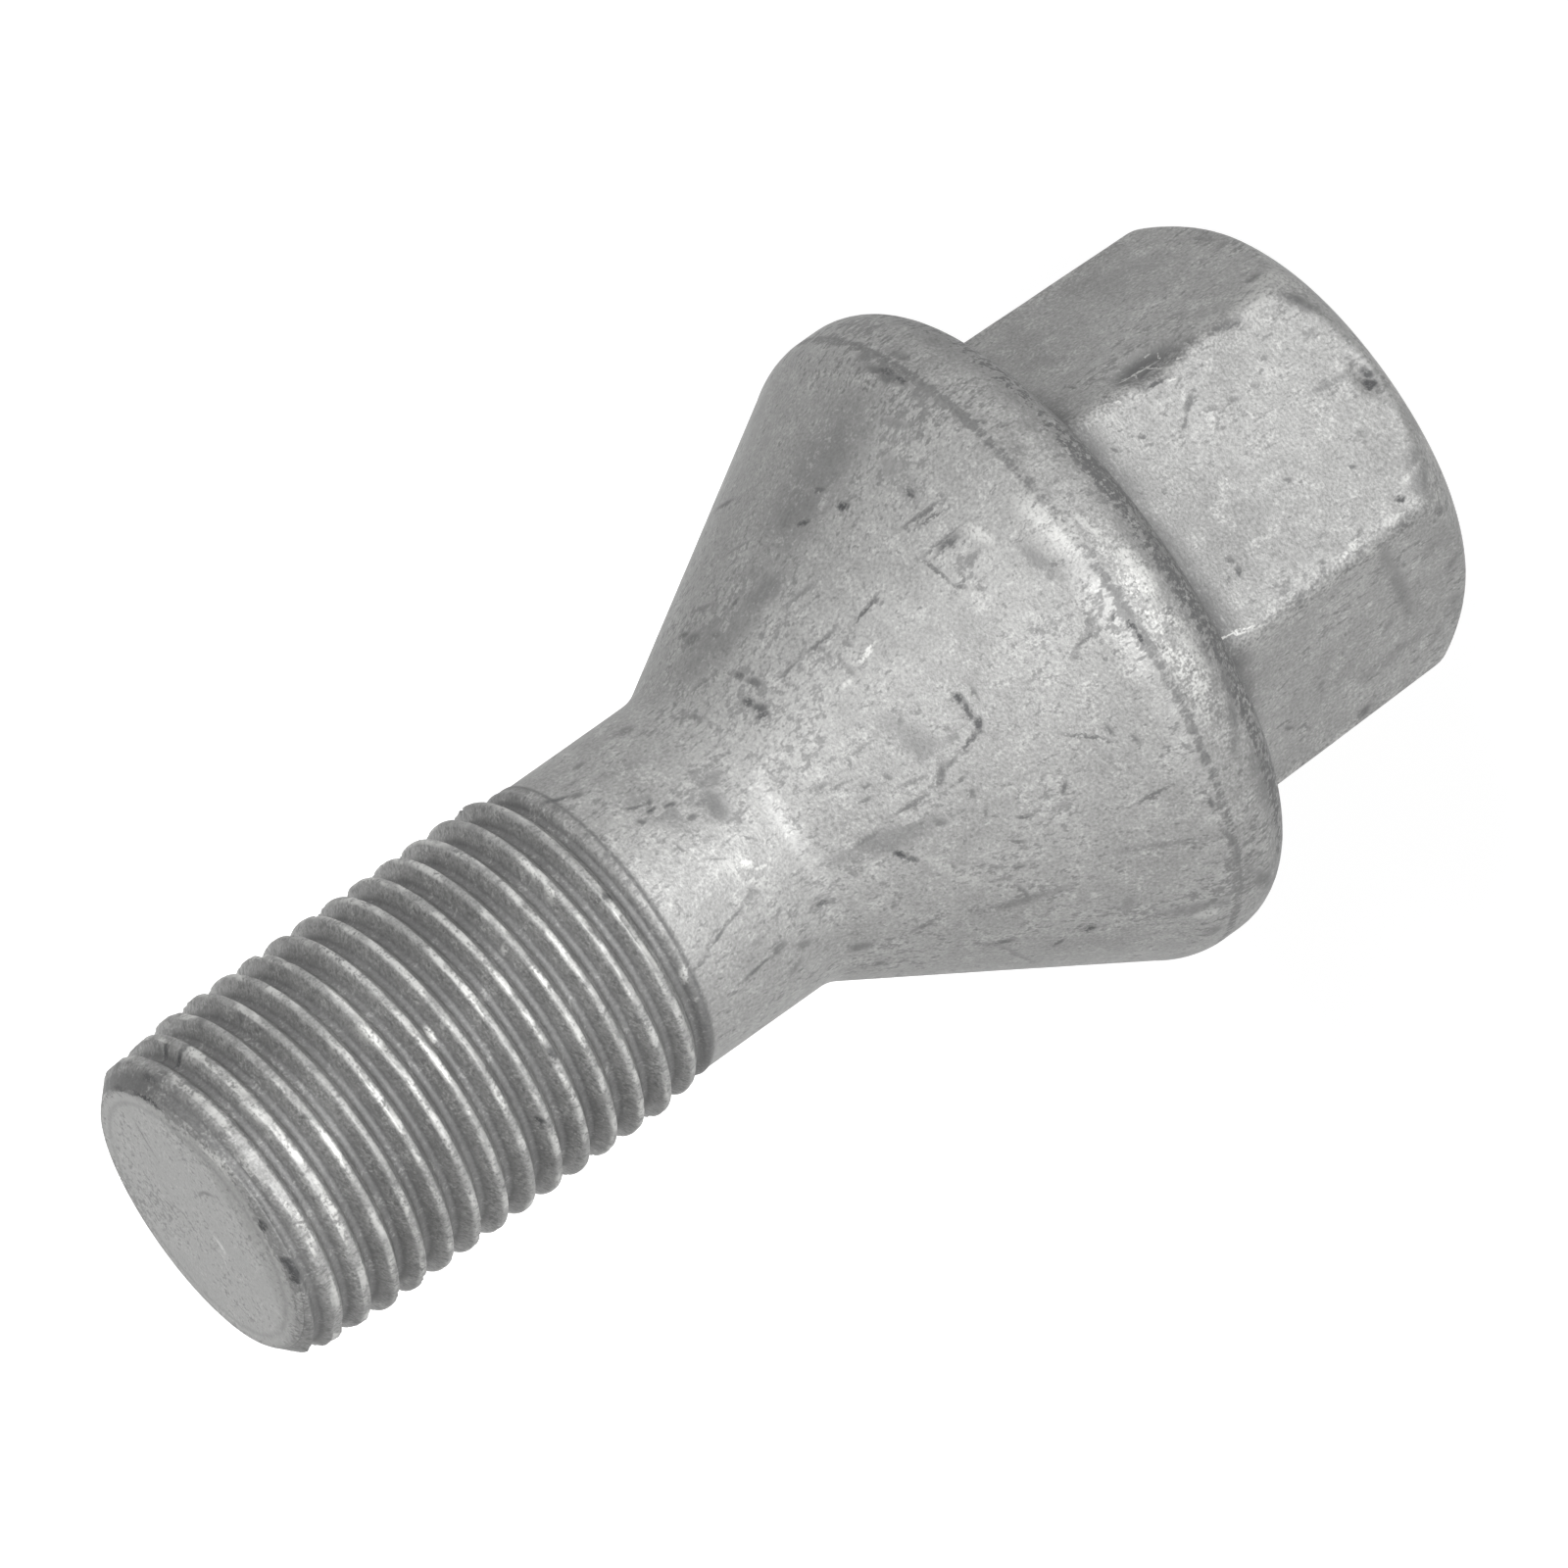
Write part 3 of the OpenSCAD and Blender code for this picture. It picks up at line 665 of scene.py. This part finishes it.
def sightSurface(b):
    # the side of the bolt without dents, its thread a smooth rod, for the sight lines of the picks
    z = heights(b)
    angles = columnAngles(b["columns"])
    rod = b["threadRadius"] - photo["threadInset"]
    thread = [(b["shankRadius"], z["runOut"]), (rod, z["runOut"]),
              (rod, z["tip"] - (rod - b["tipFaceRadius"])), (b["tipFaceRadius"], z["tip"])]
    rows = headRows(b, z, angles)
    rows += [(np.full_like(angles, r), np.full_like(angles, h)) for r, h in roundProfile(b, z) + thread]
    radius, height = (np.array([row[part] for row in rows]) for part in range(2))
    places, faces = gridFaces(angles, radius, height)
    return BVHTree.FromPolygons(places.tolist(), faces)


def sheetPlace(surface, view, x, y):
    # where the sight line through a level pick meets the bolt's front; a line that misses it is moved
    # towards the bolt's middle, pixel by pixel
    along, across, toCamera = view
    while True:
        start = (along * (x - photo["headEnd"]) + across * y) / photo["pixelsPerMm"] + toCamera * 100
        place = surface.ray_cast(start, -toCamera)[0]
        if place is not None and place.xy.dot(toCamera.xy) > 0:
            return np.array((math.atan2(place.x, -place.y) * sheetRadius, place.z))
        away = math.hypot(x, y)
        x, y = x - x / away, y - y / away


def sheetMark(surface, view, pick):
    # a level pick as a mark on the sheet: a spot where it is wider than long, else a line
    x0, y0, x1, y1, width, strength = pick
    length = math.hypot(x1 - x0, y1 - y0)
    x, y = (x0 + x1) / 2, (y0 + y1) / 2
    sideX, sideY = (y0 - y1) / length * width / 2, (x1 - x0) / length * width / 2
    start, end = sheetPlace(surface, view, x0, y0), sheetPlace(surface, view, x1, y1)
    reach = end - start
    wide = (sheetPlace(surface, view, x + sideX, y + sideY)
            - sheetPlace(surface, view, x - sideX, y - sideY))
    if length < width:
        breadth = max(np.hypot(*wide), photo["leastSpot"])
        halfLength = (np.hypot(*reach) + breadth) / 2
    else:
        breadth = max(abs(wide[1] * reach[0] - wide[0] * reach[1]) / np.hypot(*reach), photo["leastLine"])
        halfLength = np.hypot(*reach) / 2 + breadth / 4
    lean = math.degrees(math.atan2(reach[1], reach[0]))
    return (*((start + end) / 2), halfLength, breadth / 2, lean, strength)


def sheetMarks(b, s, picks):
    surface, view = sightSurface(b), sightAxes(s)
    level = list(picks["level"]) + [levelPick(pick, s["roll"]) for pick in picks["photo"]]
    return [sheetMark(surface, view, pick) for pick in level] + list(picks["sheet"])


def layMarks(mesh, b, name, marks, slots, reach=1.35, spare=0.5):
    # each face carries the sums of the strongest marks that reach over it, for the material to read; a mark
    # reaches this many times its half sizes, and as many millimetres more as it may be shaken
    middles = np.zeros(len(mesh.polygons) * 3, np.float32)
    mesh.polygons.foreach_get("center", middles)
    x, y, z = middles.reshape(-1, 3).T * 1000
    up = z + np.maximum(b["tipFaceRadius"] - np.hypot(x, y), 0) * np.sign(z - heights(b)["seat"])
    places = np.stack((np.arctan2(x, -y) * sheetRadius, up, np.ones_like(z)), 1)
    taken = np.zeros(len(z), int)
    along, beside = (np.tile((0.0, 0.0, 9.0), (slots, len(z), 1)) for part in range(2))
    strengths = np.zeros((slots, len(z)))
    for mark in sorted(marks, key=lambda mark: -mark[5]):
        sums = markSums(mark)
        near = ((np.abs(places @ sums[0]) < reach + spare / mark[2])
                & (np.abs(places @ sums[1]) < reach + spare / mark[3]))
        for slot in range(slots):
            chosen = near & (taken == slot)
            along[slot][chosen], beside[slot][chosen], strengths[slot][chosen] = *sums, mark[5]
        taken[near] += 1
    for slot in range(slots):
        for part, kind, values in (("Along", "FLOAT_VECTOR", along), ("Beside", "FLOAT_VECTOR", beside),
                                   ("Strength", "FLOAT", strengths)):
            sheet = mesh.attributes.new(name + part + str(slot), kind, "FACE")
            field = "vector" if kind == "FLOAT_VECTOR" else "value"
            sheet.data.foreach_set(field, values[slot].ravel().astype(np.float32))


def stored(tree, name, output="Vector"):
    return Wire.node(tree, "ShaderNodeAttribute", {"attribute_name": name}).other(output)


def markMasks(tree, sheet, name, slots, *reaches):
    # the strongest of the marks at each place, 0 to 1, once for each pair of an inner and an outer reach
    masks = [None] * len(reaches)
    for slot in map(str, range(slots)):
        along = vector(tree, "DOT_PRODUCT", sheet, stored(tree, name + "Along" + slot), 1)
        beside = vector(tree, "DOT_PRODUCT", sheet, stored(tree, name + "Beside" + slot), 1)
        strength = stored(tree, name + "Strength" + slot, "Fac")
        reach = along.math("SQRT", along * along + beside * beside)
        for i, (inner, outer) in enumerate(reaches):
            one = strength * (1.0 - reach.rise(inner, outer))
            masks[i] = one if masks[i] is None else masks[i].most(one)
    return masks


def between(value, low, high, soft):
    return value.rise(low - soft, low + soft) * (1.0 - value.rise(high - soft, high + soft))


def zincFlake(c, b):
    z = heights(b)
    material = bpy.data.materials.new("zincFlake")
    material.use_nodes = True
    tree = material.node_tree
    tree.nodes.clear()
    place = vector(tree, "SCALE", Wire.node(tree, "ShaderNodeTexCoord").other("Object"), 1000.0)
    x = Wire.node(tree, "ShaderNodeSeparateXYZ", None, {0: place})
    y, up = x.other("Y"), x.other("Z")
    stand = stored(tree, "threadHeight", "Fac")
    sixth = x.math("ARCTAN2", y, x) * (3 / math.pi) + 6.5
    hexTop, tipEdge = b["hexHeight"], b["tipFaceRadius"]
    corner = 1.0 - (abs(x.math("FRACT", sixth) - 0.5) * 12.0).rise(0.25, 1.0)
    corner = corner * (1.0 - up.rise(hexTop - 1.4, hexTop - 0.6))
    fromAxis = x.math("SQRT", x * x + y * y)
    tipFace = up.rise(z["tip"] - 0.71, z["tip"] - 0.51) * (1.0 - fromAxis.rise(tipEdge - 0.3, tipEdge + 0.1))

    # the coating itself: cloudy and fine grained
    grain = noise(tree, place, 7.0, 1.0, 0.6)
    patch = noise(tree, place, 0.22, 1.0, 0.6)
    mottle = noise(tree, place, 0.9, 2.5, 0.7)
    fleck = noise(tree, vector(tree, "MULTIPLY", place, (1.0, 1.0, 0.5)), 3.2, 2.0, 0.8)
    sheet = unrolledPlace(tree, b, place, (fleck - 0.5) * 0.5, (mottle - 0.5) * 0.4 + (grain - 0.5) * 0.25)
    # the whole thread is made darker, and painted shade darkens the head below the shoulder
    darkerThreadShadedHead = stand.rise(0.2, 0.8) * 0.3 + (1.0 - up.rise(z["shoulder"], z["shoulder"] + 1.0)) * 0.14
    tone = ((patch - 0.5) * 0.8 + (mottle - 0.5) * 0.8 + (grain - 0.5) * 1.3 + 0.58 - darkerThreadShadedHead).unit()
    colour = blend(tree, tone, (*c["dark"], 1.0), (*c["light"], 1.0))
    colour = blend(tree, tipFace * 0.3, colour, (*c["cut"], 1.0))

    # rubbed flecks that run along the bolt, denser round the marks and on the edges that stand out
    ringed = between(up, z["shoulder"] + 0.1, z["shoulder"] + 0.5, 0.15)
    rear = between(up, z["band"] - 2.4, z["band"] - 1.1, 0.3)
    rear = rear + between(up, z["band"] - 0.5, z["seat"], 0.4) * 0.25
    headEnd = 1.0 - up.rise(0.6, 2.6)
    chamfer = up.rise(z["tip"] - 1.4, z["tip"] - 0.8) * (1.0 - tipFace)
    edges = (ringed * 0.2 + rear * 0.1 + headEnd * 0.08 + chamfer * 0.12 + corner * 0.06).least(0.2)
    marked, around = markMasks(tree, sheet, "grime", 3, (0.3, 1.4), (0.8, 3.2))
    calm = (1.0 - up.rise(hexTop - 2.4, hexTop + 0.6)) * 0.05 - tipFace * 0.02
    scuff = fleck + (patch - 0.5) * 0.4 + (mottle - 0.5) * 0.35 + edges + around * 0.1 - calm
    scuff = scuff.rise(0.54, 0.7)
    marked = (marked * 1.15).unit() * (fleck * 0.6 + grain * 0.4).rise(0.24, 0.46, False)
    # painted shade in the hollow beside the flange, behind the rim and in the root of the thread
    hollow = up.rise(hexTop - 2.3, hexTop - 0.7) * (1.0 - up.rise(hexTop, hexTop + 1.0)) * 0.7
    root = stand.rise(0.5, 1.0) * (1.0 - stand.rise(1.05, 1.5)) * 0.5
    wobble = up + (mottle - 0.5) * 0.7 + (patch - 0.5) * 0.3
    line = between(wobble, z["shoulder"] + 0.15, z["shoulder"] + 0.42, 0.12) * fleck.rise(0.36, 0.56) * 0.6
    behindRimShade = between(up, hexTop + 0.1, z["band"] - 0.7, 0.5) * 0.2
    rim = between(fromAxis, tipEdge - 0.75, tipEdge - 0.5, 0.12) * tipFace * 0.2
    side = between(stand, 1.3, 1.85, 0.15) * fleck.rise(0.5, 0.62) * 0.4
    grime = (scuff * (rear * 0.35 + 0.42)).most(marked)
    for layer in (hollow, root, side, line, behindRimShade, rim):
        grime = grime.most(layer)
    # the dark colour goes on for dirt and for the painted shade alike
    colour = blend(tree, grime, colour, (*c["grime"], 1.0))

    # bare metal: single flakes, the flange's worn band, the edges, scratches and the crests of the thread
    speckle = mottle * 0.55 + grain * 0.45
    sparkle = speckle.rise(0.54, 0.7) * 0.2
    front = between(x, c["bandWornFrom"], c["bandWornTo"], 2.0) * (1.0 - y.rise(c["bandWornFront"], 0.0))
    front = 0.15 + front * 0.85
    band = between(up, z["band"] - 0.6, z["shoulder"] - 0.1, 0.4) * front * 0.5
    worn = band.most(corner * 0.22) * speckle.rise(0.45, 0.62)
    scratched = markMasks(tree, sheet, "bare", 2, (0.35, 1.35))[0] * grain.rise(0.25, 0.5, False)
    patches = noise(tree, vector(tree, "MULTIPLY", sheet, (0.4, 1.5, 0.0)), 0.9, 1.5, 0.7).rise(0.46, 0.6)
    crest = stand.rise(1.8, 1.97) * (1.0 - chamfer)
    streak = (patches * 0.42 + 0.08) * crest * speckle.rise(0.35, 0.52)
    bare = sparkle.most(scratched * 0.75).most(streak).most(worn)
    colour = blend(tree, bare, colour, (*c["bare"], 1.0))

    rough = (c["roughness"] + (grain - 0.5) * 0.2 + grime * 0.15 - bare * 0.12).unit()
    bump = Wire.node(tree, "ShaderNodeBump", None, {
        "Strength": 0.8, "Distance": c["grainDepth"] / 1000, "Height": grain * 1.3})
    shader = Wire.node(tree, "ShaderNodeBsdfPrincipled", None, {
        "Base Color": colour, "Metallic": c["metallic"], "Roughness": rough, "Normal": bump})
    Wire.node(tree, "ShaderNodeOutputMaterial", None, {"Surface": shader})
    return material


def makeBolt(b, s):
    angles, radius, height, rolled = makeBlank(b)
    blank = gridMesh("boltBlank", angles, radius, height, rolled)
    tree, values = threadRoller(b, zincFlake(coating, b))
    piece = applyTree("wheelBolt", blank, tree, values)
    layMarks(piece.data, b, "grime", sheetMarks(b, s, dirtAndShadePicks), 3)
    layMarks(piece.data, b, "bare", sheetMarks(b, s, barePicks), 2)
    print("bolt made:", sum(len(face.vertices) - 2 for face in piece.data.polygons), "triangles")
    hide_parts("wheel_bolt")
    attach(piece, "root")
    return piece


# The studio: the bolt stands on a pale sweep under soft boxes, and the camera is rolled to lay it askew
studio = {
    "tilt": 18.5,
    "turn": -1.06,
    "roll": 35.35,
    "aim": (0.656, 0.0, 30.14),
    "frameWidth": 67.65,
    "distance": 1.2,
    "sensor": 36.0,
    "floor": 1.6,
    "floorColour": 0.8,
    "floorShadow": 0.3,
    "shadowReach": 0.1,
    "floorGlow": 1.32,
    "ambient": 0.12,
}

# name: azimuth from the camera's side towards +X and elevation, distance, size, power
softBoxes = {
    "keyBox": ((22, 40), 0.6, (0.2, 0.2), 0.88),
    "lowBox": ((-8, 4), 0.6, (0.15, 0.06), 3.4),
    "sideBox": ((-50, 12), 0.6, (0.3, 0.3), 0.45),
    "rearBox": ((172, 10), 0.6, (0.4, 0.4), 0.8),
}


def sightAxes(s):
    # the direction to the head as the camera sees it, the one across the bolt, and the one to the camera
    tilt, turn = math.radians(s["tilt"]), math.radians(s["turn"])
    toCamera = Vector((math.sin(turn) * math.cos(tilt), -math.cos(turn) * math.cos(tilt), math.sin(tilt)))
    down = Vector((0, 0, -1))
    along = (down - toCamera * down.dot(toCamera)).normalized()
    return along, along.cross(toCamera), toCamera


def cameraAxes(s):
    along, across, toCamera = sightAxes(s)
    roll = math.radians(s["roll"])
    right = along * math.cos(roll) + across * math.sin(roll)
    return right, toCamera.cross(right), toCamera


def placeAt(item, origin, right, up, back):
    item.matrix_world = Matrix((
        (right.x, up.x, back.x, origin.x), (right.y, up.y, back.y, origin.y),
        (right.z, up.z, back.z, origin.z), (0, 0, 0, 1)))
    bpy.context.scene.collection.objects.link(item)


def makeCamera(s):
    right, up, back = cameraAxes(s)
    data = bpy.data.cameras.new("camera")
    data.sensor_width = s["sensor"]
    data.lens = s["distance"] * 1000 * s["sensor"] / s["frameWidth"]
    data.clip_start, data.clip_end = 0.01, 20.0
    camera = bpy.data.objects.new("camera", data)
    placeAt(camera, Vector(s["aim"]) / 1000 + back * s["distance"], right, up, back)
    bpy.context.scene.camera = camera


def makeLights(s, boxes):
    middle = Vector(s["aim"]) / 1000
    for name, ((azimuth, elevation), distance, size, power) in boxes.items():
        data = bpy.data.lights.new(name, "AREA")
        data.shape = "RECTANGLE"
        data.size, data.size_y = size
        data.energy = power
        azimuth, elevation = math.radians(azimuth), math.radians(elevation)
        toward = Vector((math.sin(azimuth) * math.cos(elevation), -math.cos(azimuth) * math.cos(elevation),
                         math.sin(elevation)))
        side = Vector((0, 0, 1)).cross(toward).normalized()
        light = bpy.data.objects.new(name, data)
        placeAt(light, middle + toward * distance, side, toward.cross(side), toward)


def seenDirectly(tree):
    path = Wire.node(tree, "ShaderNodeLightPath")
    straight = path.other("Is Camera Ray").most(path.other("Is Glossy Ray"))
    return straight.most(path.other("Is Transmission Ray"))


def makeSurroundings(s):
    world = bpy.data.worlds.new("studio")
    world.use_nodes = True
    tree = world.node_tree
    tree.nodes.clear()
    seen = seenDirectly(tree)
    strength = s["ambient"] + (1.0 - s["ambient"]) * seen
    white = Wire.node(tree, "ShaderNodeBackground", None, {"Color": (1, 1, 1, 1), "Strength": strength})
    Wire.node(tree, "ShaderNodeOutputWorld", None, {"Surface": white})
    bpy.context.scene.world = world

    material = bpy.data.materials.new("sweep")
    material.use_nodes = True
    tree = material.node_tree
    tree.nodes.clear()
    shade = s["floorColour"]
    paper = Wire.node(tree, "ShaderNodeBsdfDiffuse", None, {"Color": (shade, shade, shade, 1)})
    glow = Wire.node(tree, "ShaderNodeEmission", None, {"Color": (1, 1, 1, 1), "Strength": s["floorGlow"]})
    # only the floor round the bolt has to show a shadow
    place = Wire.node(tree, "ShaderNodeTexCoord").other("Object")
    near = 1.0 - vector(tree, "LENGTH", place, output=1).rise(s["shadowReach"] * 0.5, s["shadowReach"])
    mixed = Wire.node(tree, "ShaderNodeMixShader", None, {
        0: seenDirectly(tree) * (1.0 - near * s["floorShadow"]), 1: paper, 2: glow})
    Wire.node(tree, "ShaderNodeOutputMaterial", None, {"Surface": mixed})
    half = s["floor"] / 2
    mesh = bpy.data.meshes.new("sweep")
    corners = [(-half, -half, 0), (half, -half, 0), (half, half, 0), (-half, half, 0)]
    mesh.from_pydata(corners, [], [(0, 1, 2, 3)])
    mesh.materials.append(material)
    floor = bpy.data.objects.new("sweep", mesh)
    bpy.context.scene.collection.objects.link(floor)


makeCamera(studio)
print("camera set")
makeBolt(boltSizes, studio)
makeLights(studio, softBoxes)
makeSurroundings(studio)
bpy.context.scene.view_settings.view_transform = "Standard"
print("studio set")
